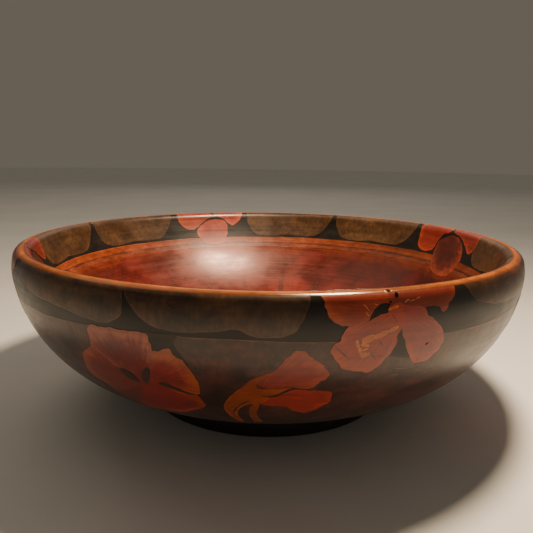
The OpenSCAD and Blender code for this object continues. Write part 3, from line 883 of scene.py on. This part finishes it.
def bore(pieces):
    """Cuts the beetle holes, wider at the mouth, into these pieces."""
    for (azimuth, z, width, depth) in BORES:
        s = float(s_outside(z))
        point, normal = on_skin(np.array([rad(azimuth)]), np.array([s]), 0)
        shape = bmesh.new()
        bmesh.ops.create_cone(shape, cap_ends=True, segments=28, radius1=width * 0.30 * MM,
                              radius2=width * 0.55 * MM, depth=depth * MM)
        mesh = bpy.data.meshes.new("cutter")
        shape.to_mesh(mesh)
        shape.free()
        cutter = new_object("cutter", mesh)
        turn = Vector(normal[0]).to_track_quat("Z", "Y")
        centre = Vector(point[0]) * MM - Vector(normal[0]) * (depth / 2 - 0.5) * MM
        cutter.matrix_world = Matrix.Translation(centre) @ turn.to_matrix().to_4x4()
        for piece in pieces:
            cut_away(piece, cutter)
        bpy.data.objects.remove(cutter)


def make_wood():
    """The turned body under the paint, and the foot disc glued in below it."""
    top = FOOT_TOP + 2
    socket_r = SPIGOT_R + 0.1
    profile = [(0, top), (socket_r, top), (socket_r, FOOT_TOP)]
    profile += skin_row(0.0, STARTS[2], 3.0)
    profile += skin_row(STARTS[2], S_TOP + 8, 1.0)[1:]
    profile += skin_row(S_TOP + 8, S_END, 3.0)[1:]
    body = lathe("turned_body", profile, 240)
    round_r = 1.5
    corner = [polar((FOOT_R - round_r, round_r), round_r, a - 90) for a in range(0, 91, 15)]
    hollow = [(0, 3.5), (20, 3.5), (40, 3.45), (52, 3.2), (55.5, 2.2), (57.2, 0.8), (58.2, 0)]
    foot = lathe("foot_disc", hollow + corner + [(FOOT_R, 4), (FOOT_R, 8), (FOOT_R - 0.1, FOOT_TOP - 0.6),
                 (FOOT_R - 0.6, FOOT_TOP), (SPIGOT_R, FOOT_TOP), (SPIGOT_R, top), (0, top)], 300)
    return body, foot


def make_ring(ring_s):
    """The ring between wall and floor: a dark line between two orange ones."""
    wide = float(s_inside(BOWL_H - RING_TOP - RING_W)) - ring_s
    rows = [("ring_dark_line_coat", 0.5, 0.75, dict(top=0.03, depth=0.02),
             ("ring_brown", (120, 48, 22), (86, 34, 18))),
            ("ring_line_coat", 0.0, 0.55, dict(top=0.06, depth=0.05, shaky=0.14, seed=21),
             ("ring_bright", (170, 76, 20), (134, 54, 16))),
            ("ring_light_line_coat", 0.68, 1.0, dict(top=0.06, depth=0.05, shaky=0.2, seed=23),
             ("ring_pale", (158, 74, 36), (116, 50, 25)))]
    for (name, lo, hi, film, paint) in rows:
        piece = turned_film(name, ring_s + wide * lo, ring_s + wide * hi, row=0.6, **film)
        # Each ring line gets painted shade towards +X.
        settle(piece, line_material(*paint, shade_one_side=True), "ring_orange", "inner_ring")


def make_coats():
    """The wood and the coats that go right round it."""
    wood, foot = make_wood()
    ring_s = float(s_inside(BOWL_H - RING_TOP))
    band = turned_film("rim_band_coat", lip_s(BAND_OUT), lip_s(BAND_IN), row=0.4, around=720)
    outer = turned_film("outer_ground_coat", 0.0, lip_s(BAND_OUT))
    inner = turned_film("inner_ground_coat", lip_s(BAND_IN), ring_s, row=1.2)
    floor = turned_film("floor_coat", ring_s, S_END, row=2.2)
    bore([band, wood])
    settle(wood, wood_material(), "turned_wood", "bowl_body")
    settle(foot, foot_material(), "foot_black", "foot")
    settle(band, rim_material(), "rim_orange_brown", "rim_band")
    black = ground_material()
    settle(outer, black, "ground_black", "outer_ground")
    settle(inner, black, "ground_black", "inner_ground")
    settle(floor, floor_material(ring_s), "floor_maroon", "floor_field")
    make_ring(ring_s)
    make_floor_flower(ring_s)


def make_floor_flower(ring_s):
    figures = Figures(0.07, 0.06, gap=3.0, shaky=0.25)
    tip_r = 116.0
    half = 9.0
    side = (tip_r - half) * math.tan(math.pi / FLOOR_PETALS) - 0.3
    cap = [(tip_r - half + half * math.cos(rad(a)), side * math.sin(rad(a))) for a in range(-80, 81, 20)]
    corners = [(14, 0), (tip_r - half, -side)] + cap + [(tip_r - half, side)]
    outline, _ = spaced(np.array(corners, float), 1.5)
    for k in range(FLOOR_PETALS):
        turn = rad(FLOOR_PETAL_AZ + (k + 0.5) * 360 / FLOOR_PETALS)

        def to_skin(flat, turn=turn):
            return turn + np.arctan2(flat[:, 1], flat[:, 0]), s_floor(np.hypot(flat[:, 0], flat[:, 1]))
        core = np.array(colour(158, 42, 22)) * np.random.default_rng(k + 300).uniform(0.6, 1.25)
        figures.add(outline, to_skin, base=(4, 0), seed=k + 300, core=core)
    settle(figures.piece("floor_flower_petals"), floor_petal_material(ring_s), "floor_red", "floor_flower")


def field_rise(az):
    """How far the lower field's top edge stands above its middle height at an azimuth in radians."""
    return FIELD_WAVE * np.cos(4 * (az + rad(6)))


def make_grounds():
    """Scallops outside and inside, the lower field and the black gaps in it."""
    outer = Figures(0.07, 0.05)
    inner = Figures(0.07, 0.05)
    patches = Figures(0.09, 0.04)
    for (k, turn) in repeats():
        for i, (az, inner_az) in enumerate(((-28.2, -27.5), (30.2, 30.4))):
            draw_on_wall(outer, SCALLOPS[i], FLOWER_AZ + az + turn, seed=10 * k + i)
            draw_on_wall(inner, INNER_SCALLOP, FLOWER_AZ + inner_az + turn, inside=True,
                         seed=50 + 10 * k + i)
        draw_on_wall(patches, SIDE_PATCH, SIDE_AZ + turn, seed=130 + k)
        draw_on_wall(patches, RIM_PATCH, FLOWER_AZ + turn, seed=140 + k)
    olive = comb_material("scallop_olive", (90, 58, 25), (54, 31, 13), (116, 70, 30), 0.6, (74, 36, 16))
    calm = comb_material("scallop_olive_inside", (88, 58, 27), (66, 42, 20), (96, 62, 30), 0.5,
                         (76, 46, 22))
    mauve = comb_material("field_mauve_brown", (84, 47, 38), (48, 25, 19), (140, 84, 62), 0.6,
                          (100, 42, 30), (64, 28, 16))
    settle(outer.piece("outer_scallop_paint"), olive, "scallop_olive", "outer_scallops")
    settle(inner.piece("inner_scallop_paint"), calm, "scallop_olive", "inner_scallops")
    field = turned_film("lower_field_paint", 0.6, float(s_outside(BOWL_H - FIELD_TOP)), top=0.05,
                        depth=0.04, shaky=0.14, seed=91, rise=field_rise)
    settle(field, mauve, "field_mauve_brown", "lower_field")
    settle(patches.piece("ground_patches"), patch_material(), "ground_black", "outer_ground")


def petal_styles(*rows):
    """Looks of petals, each from its core's colour, its rim's colour and its rim's width."""
    return [{"core": colour(*core), "rim": colour(*rim), "rim_w": width} for (core, rim, width) in rows]


RIM_STYLES = petal_styles(((152, 50, 20), (170, 72, 34), 3.0), ((118, 36, 10), (136, 50, 14), 3.0),
                          ((160, 55, 34), (184, 76, 42), 4.0), ((146, 49, 37), (170, 68, 46), 3.5))
SIDE_STYLES = petal_styles(((112, 20, 14), (162, 82, 58), 7.5), ((120, 32, 14), (158, 70, 34), 4.0),
                           ((122, 16, 7), (166, 76, 32), 7.0), ((128, 22, 10), (176, 66, 25), 4.5),
                           ((102, 24, 14), (142, 52, 26), 2.5))
BUD_STYLES = petal_styles(((126, 38, 27), (154, 64, 38), 4.0), ((138, 36, 16), (164, 54, 22), 3.0))
INNER_STYLES = [[RIM_STYLES[0], RIM_STYLES[2], RIM_STYLES[2]],
                petal_styles(((124, 36, 17), (146, 54, 24), 3.0), ((74, 25, 15), (124, 48, 24), 8.0),
                             ((118, 35, 19), (142, 54, 27), 3.0))]
STAMEN, OCHRE, STEM = petal_styles(((146, 58, 34), (156, 68, 40), 1.2),
                                   ((206, 102, 42), (214, 116, 52), 0.8),
                                   ((142, 60, 17), (180, 90, 29), 1.4))


def draw_row(figures, outlines, azimuth, seed, lifts=None, styles=None, **more):
    """Draws outlines side by side, each with its own seed, lift and style."""
    for i, points in enumerate(outlines):
        lift = lifts[i] if lifts else None
        style = styles[i] if styles else {}
        draw_on_wall(figures, points, azimuth, seed=seed + i, lift=lift, **style, **more)


def draw_strokes(figures, strokes, azimuth, seed, ends=(0.25, 0.25), **more):
    """Draws brush strokes, each a row of points and a width."""
    outlines = [ribbon(points, width, ends) for (points, width) in strokes]
    draw_row(figures, outlines, azimuth, seed, curved=False, **more)


def make_flowers():
    petals, side, buds = (Figures(0.11, 0.05, gap=1.5, shaky=0.2) for _ in range(3))
    inner = Figures(0.11, 0.05, gap=1.5)
    veins, slits = (Figures(0.20, 0.04, gap=1.2, shaky=0.08) for _ in range(2))
    stems = Figures(0.17, 0.04, gap=1.2, shaky=0.08)
    stamens = Figures(0.22, 0.04, gap=0.8, shaky=0.08)
    for (k, turn) in repeats():
        seed = 1000 * (k + 1)
        front, left, low = FLOWER_AZ + turn, SIDE_AZ + turn, BUD_AZ + turn
        draw_row(petals, RIM_PETALS, front, seed, (0.12, 0.14, 0.18, 0.16), RIM_STYLES, base=(2.0, 8.0))
        draw_on_wall(stamens, RIM_STAMEN, front, base=(3, 13.5), seed=seed + 9, lift=0.20, **STAMEN)
        draw_strokes(stamens, STAMEN_DABS, front, seed + 10, (0.6, 0.6), **OCHRE)
        draw_strokes(veins, PETAL_VEINS, front, seed + 70)
        draw_row(side, SIDE_PETALS, left, seed + 20, (0.18, 0.10, 0.16, 0.14, 0.12), SIDE_STYLES,
                 base=(-1.5, 43.0))
        draw_row(slits, SIDE_SLITS, left, seed + 30)
        draw_row(buds, BUD_PETALS, low, seed + 40, (0.14, 0.12), BUD_STYLES, base=(-8, 42))
        draw_on_wall(stems, BUD_STEM, low, base=(-3, 38), seed=seed + 50, **STEM)
        draw_on_wall(stems, BUD_CURL, low, base=(-8, 48), seed=seed + 51, lift=0.15, **STEM)
        draw_strokes(slits, BUD_SLITS, low, seed + 52)
        draw_row(inner, INNER_PETALS[k % 2], front, seed + 60, (0.12, 0.16, 0.14), INNER_STYLES[k % 2],
                 inside=True, base=(1, 3.5))
    red = petal_material("petal_red_orange")
    settle(petals.piece("rim_flower_petals"), red, "petal_red_orange", "rim_flowers")
    settle(stamens.piece("rim_flower_stamen_paint"), petal_material("stamen_ochre", 0.3, 0.4),
           "stamen_ochre", "rim_flower_stamens")
    settle(veins.piece("rim_petal_veins"), line_material("vein_brown", (100, 42, 29), (72, 30, 21)),
           "petal_red_orange", "rim_flowers")
    settle(side.piece("side_flower_petals"), petal_material("petal_orange"), "petal_orange", "side_flowers")
    settle(slits.piece("petal_slits"), line_material("slit_brown", (66, 35, 22), (44, 25, 16)),
           "field_mauve_brown", "lower_field")
    settle(buds.piece("side_bud_petals"), red, "petal_red_orange", "side_buds")
    settle(stems.piece("bud_stem_paint"), petal_material("stem_orange", 0.3, 0.2), "stem_orange",
           "bud_stems")
    settle(inner.piece("inner_flower_petals"), red, "petal_red_orange", "inner_flowers")


def oval(across, down, wide, high, turn=0.0):
    cos, sin = math.cos(rad(turn)), math.sin(rad(turn))
    ring = [polar((0, 0), 0.5, 30 * k) for k in range(12)]
    return [(across + wide * x * cos - high * y * sin, down + wide * x * sin + high * y * cos)
            for (x, y) in ring]


def make_marks():
    """Wear and small marks of the front: painted shade for two holes, a dark notch, a knot, pale scratches
    and rubbed places.
    """
    dark = Figures(0.22, 0.04, gap=0.6, shaky=0.05)
    # The first two ovals are painted shade: near-black and without shine, where the insides of two beetle
    # holes would be shaded, since the coats here are not cut through.
    draw_on_wall(dark, oval(0.6, 1.9, 1.5, 1.9, 20), FLOWER_AZ, limit=lip_s(80), seed=401)
    draw_row(dark, [oval(-2.3, 4.2, 0.8, 0.9), oval(16.6, 23, 1.8, 0.8, -25)], FLOWER_AZ, 402)
    settle(dark.piece("hole_shade_and_notch_marks"), line_material("hole_shade_and_dark_notch", (34, 10, 7), (14, 6, 4), 0.0, 0.1),
           "ground_black", "outer_ground")
    knot = Figures(0.12, 0.04, gap=0.6, shaky=0.12)
    draw_row(knot, [oval(-15.4, 5.0, 4.6, 3.0, 15), oval(-15.4, 5.0, 1.8, 1.2, 15)], FLOWER_AZ - 28.2,
             404, (0.12, 0.15))
    settle(knot.piece("knot_mark"), line_material("mark_red", (96, 34, 12), (48, 20, 8)),
           "scallop_olive", "outer_scallops")
    pale = Figures(0.22, 0.04, gap=0.5, shaky=0.04)
    draw_strokes(pale, SCRATCHES, FLOWER_AZ, 410, (0.5, 0.3))
    nicks = [([(x, y), (x + 0.9, y + 1.0 - 0.4 * i)], 0.3)
             for i, (x, y) in enumerate([(-7.0, 4.6), (-5.2, 4.2), (-3.6, 4.9), (-2.6, 3.9)])]
    draw_strokes(pale, nicks, FLOWER_AZ + 30.2, 420)
    settle(pale.piece("pale_scratches"), line_material("scratch_pale", (226, 140, 84), (190, 100, 52)),
           "turned_wood", "bowl_body")
    rubs = Figures(0.12, 0.04, gap=0.5, shaky=0.04)
    draw_strokes(rubs, FIELD_RUBS, FLOWER_AZ, 430, (0.2, 0.2))
    settle(rubs.piece("field_rubs"), line_material("rub_mauve", (140, 108, 92), (98, 66, 52)),
           "field_mauve_brown", "lower_field")


# ---- Studio ----

def make_camera():
    data = bpy.data.cameras.new("camera")
    data.sensor_width = 36
    data.lens = 39.17
    data.clip_start = 0.01
    camera = new_object("camera", data)
    turns = ((0.147, "Z"), (90 - 11.40, "X"), (0.83, "Z"))
    camera.matrix_world = Matrix.Translation((0.0, -0.3398, 0.1430))
    for (degrees, axis) in turns:
        camera.matrix_world = camera.matrix_world @ Matrix.Rotation(rad(degrees), 4, axis)
    bpy.context.scene.camera = camera


def make_floor():
    """A wide disc of pale cloth."""
    mesh = bpy.data.meshes.new("floor")
    n = 96
    mesh.from_pydata([(*polar((0, 0), 4, 360 * k / n), 0) for k in range(n)], [], [list(range(n))])
    g = Graph("floor_cloth")
    place = g.node("NewGeometry", {}, "Position")
    soft = g.noise((9, 9, 9), (0, 0, 0), 3, vector=place)
    weave = g.noise((900, 1400, 10), vector=place)
    base = g.mix(g.span(soft, 0.3, 0.7), (236, 237, 236), (243, 244, 243))
    mesh.materials.append(g.finish(base, 0.8, g.bump(weave, 0.15, 0.0003)))
    new_object("floor", mesh)


def area_light(name, place, target, size, power, tint):
    data = bpy.data.lights.new(name, "AREA")
    data.shape = "DISK"
    data.size = size
    data.energy = power
    data.color = tint
    light = new_object(name, data)
    light.location = place
    light.rotation_euler = (Vector(target) - Vector(place)).to_track_quat("-Z", "Y").to_euler()


def make_light():
    area_light("key", (0.107, -0.02, 0.43), (0, 0, 0.05), 0.085, 3.85, (1.0, 0.75, 0.50))
    area_light("back", (0.0, 1.5, 1.0), (0, 0, 0.05), 1.0, 1.6, (1.0, 0.87, 0.70))
    area_light("fill", (-0.5, 0.3, 1.0), (0.05, -0.1, 0), 0.8, 1.2, (1.0, 0.84, 0.62))
    world = bpy.data.worlds.new("world")
    world.use_nodes = True
    sky = world.node_tree.nodes["Background"].inputs
    sky[0].default_value = (1.0, 0.86, 0.68, 1)
    sky[1].default_value = 0.14
    bpy.context.scene.world = world


make_camera()
make_floor()
make_light()
make_coats()
make_grounds()
make_flowers()
make_marks()
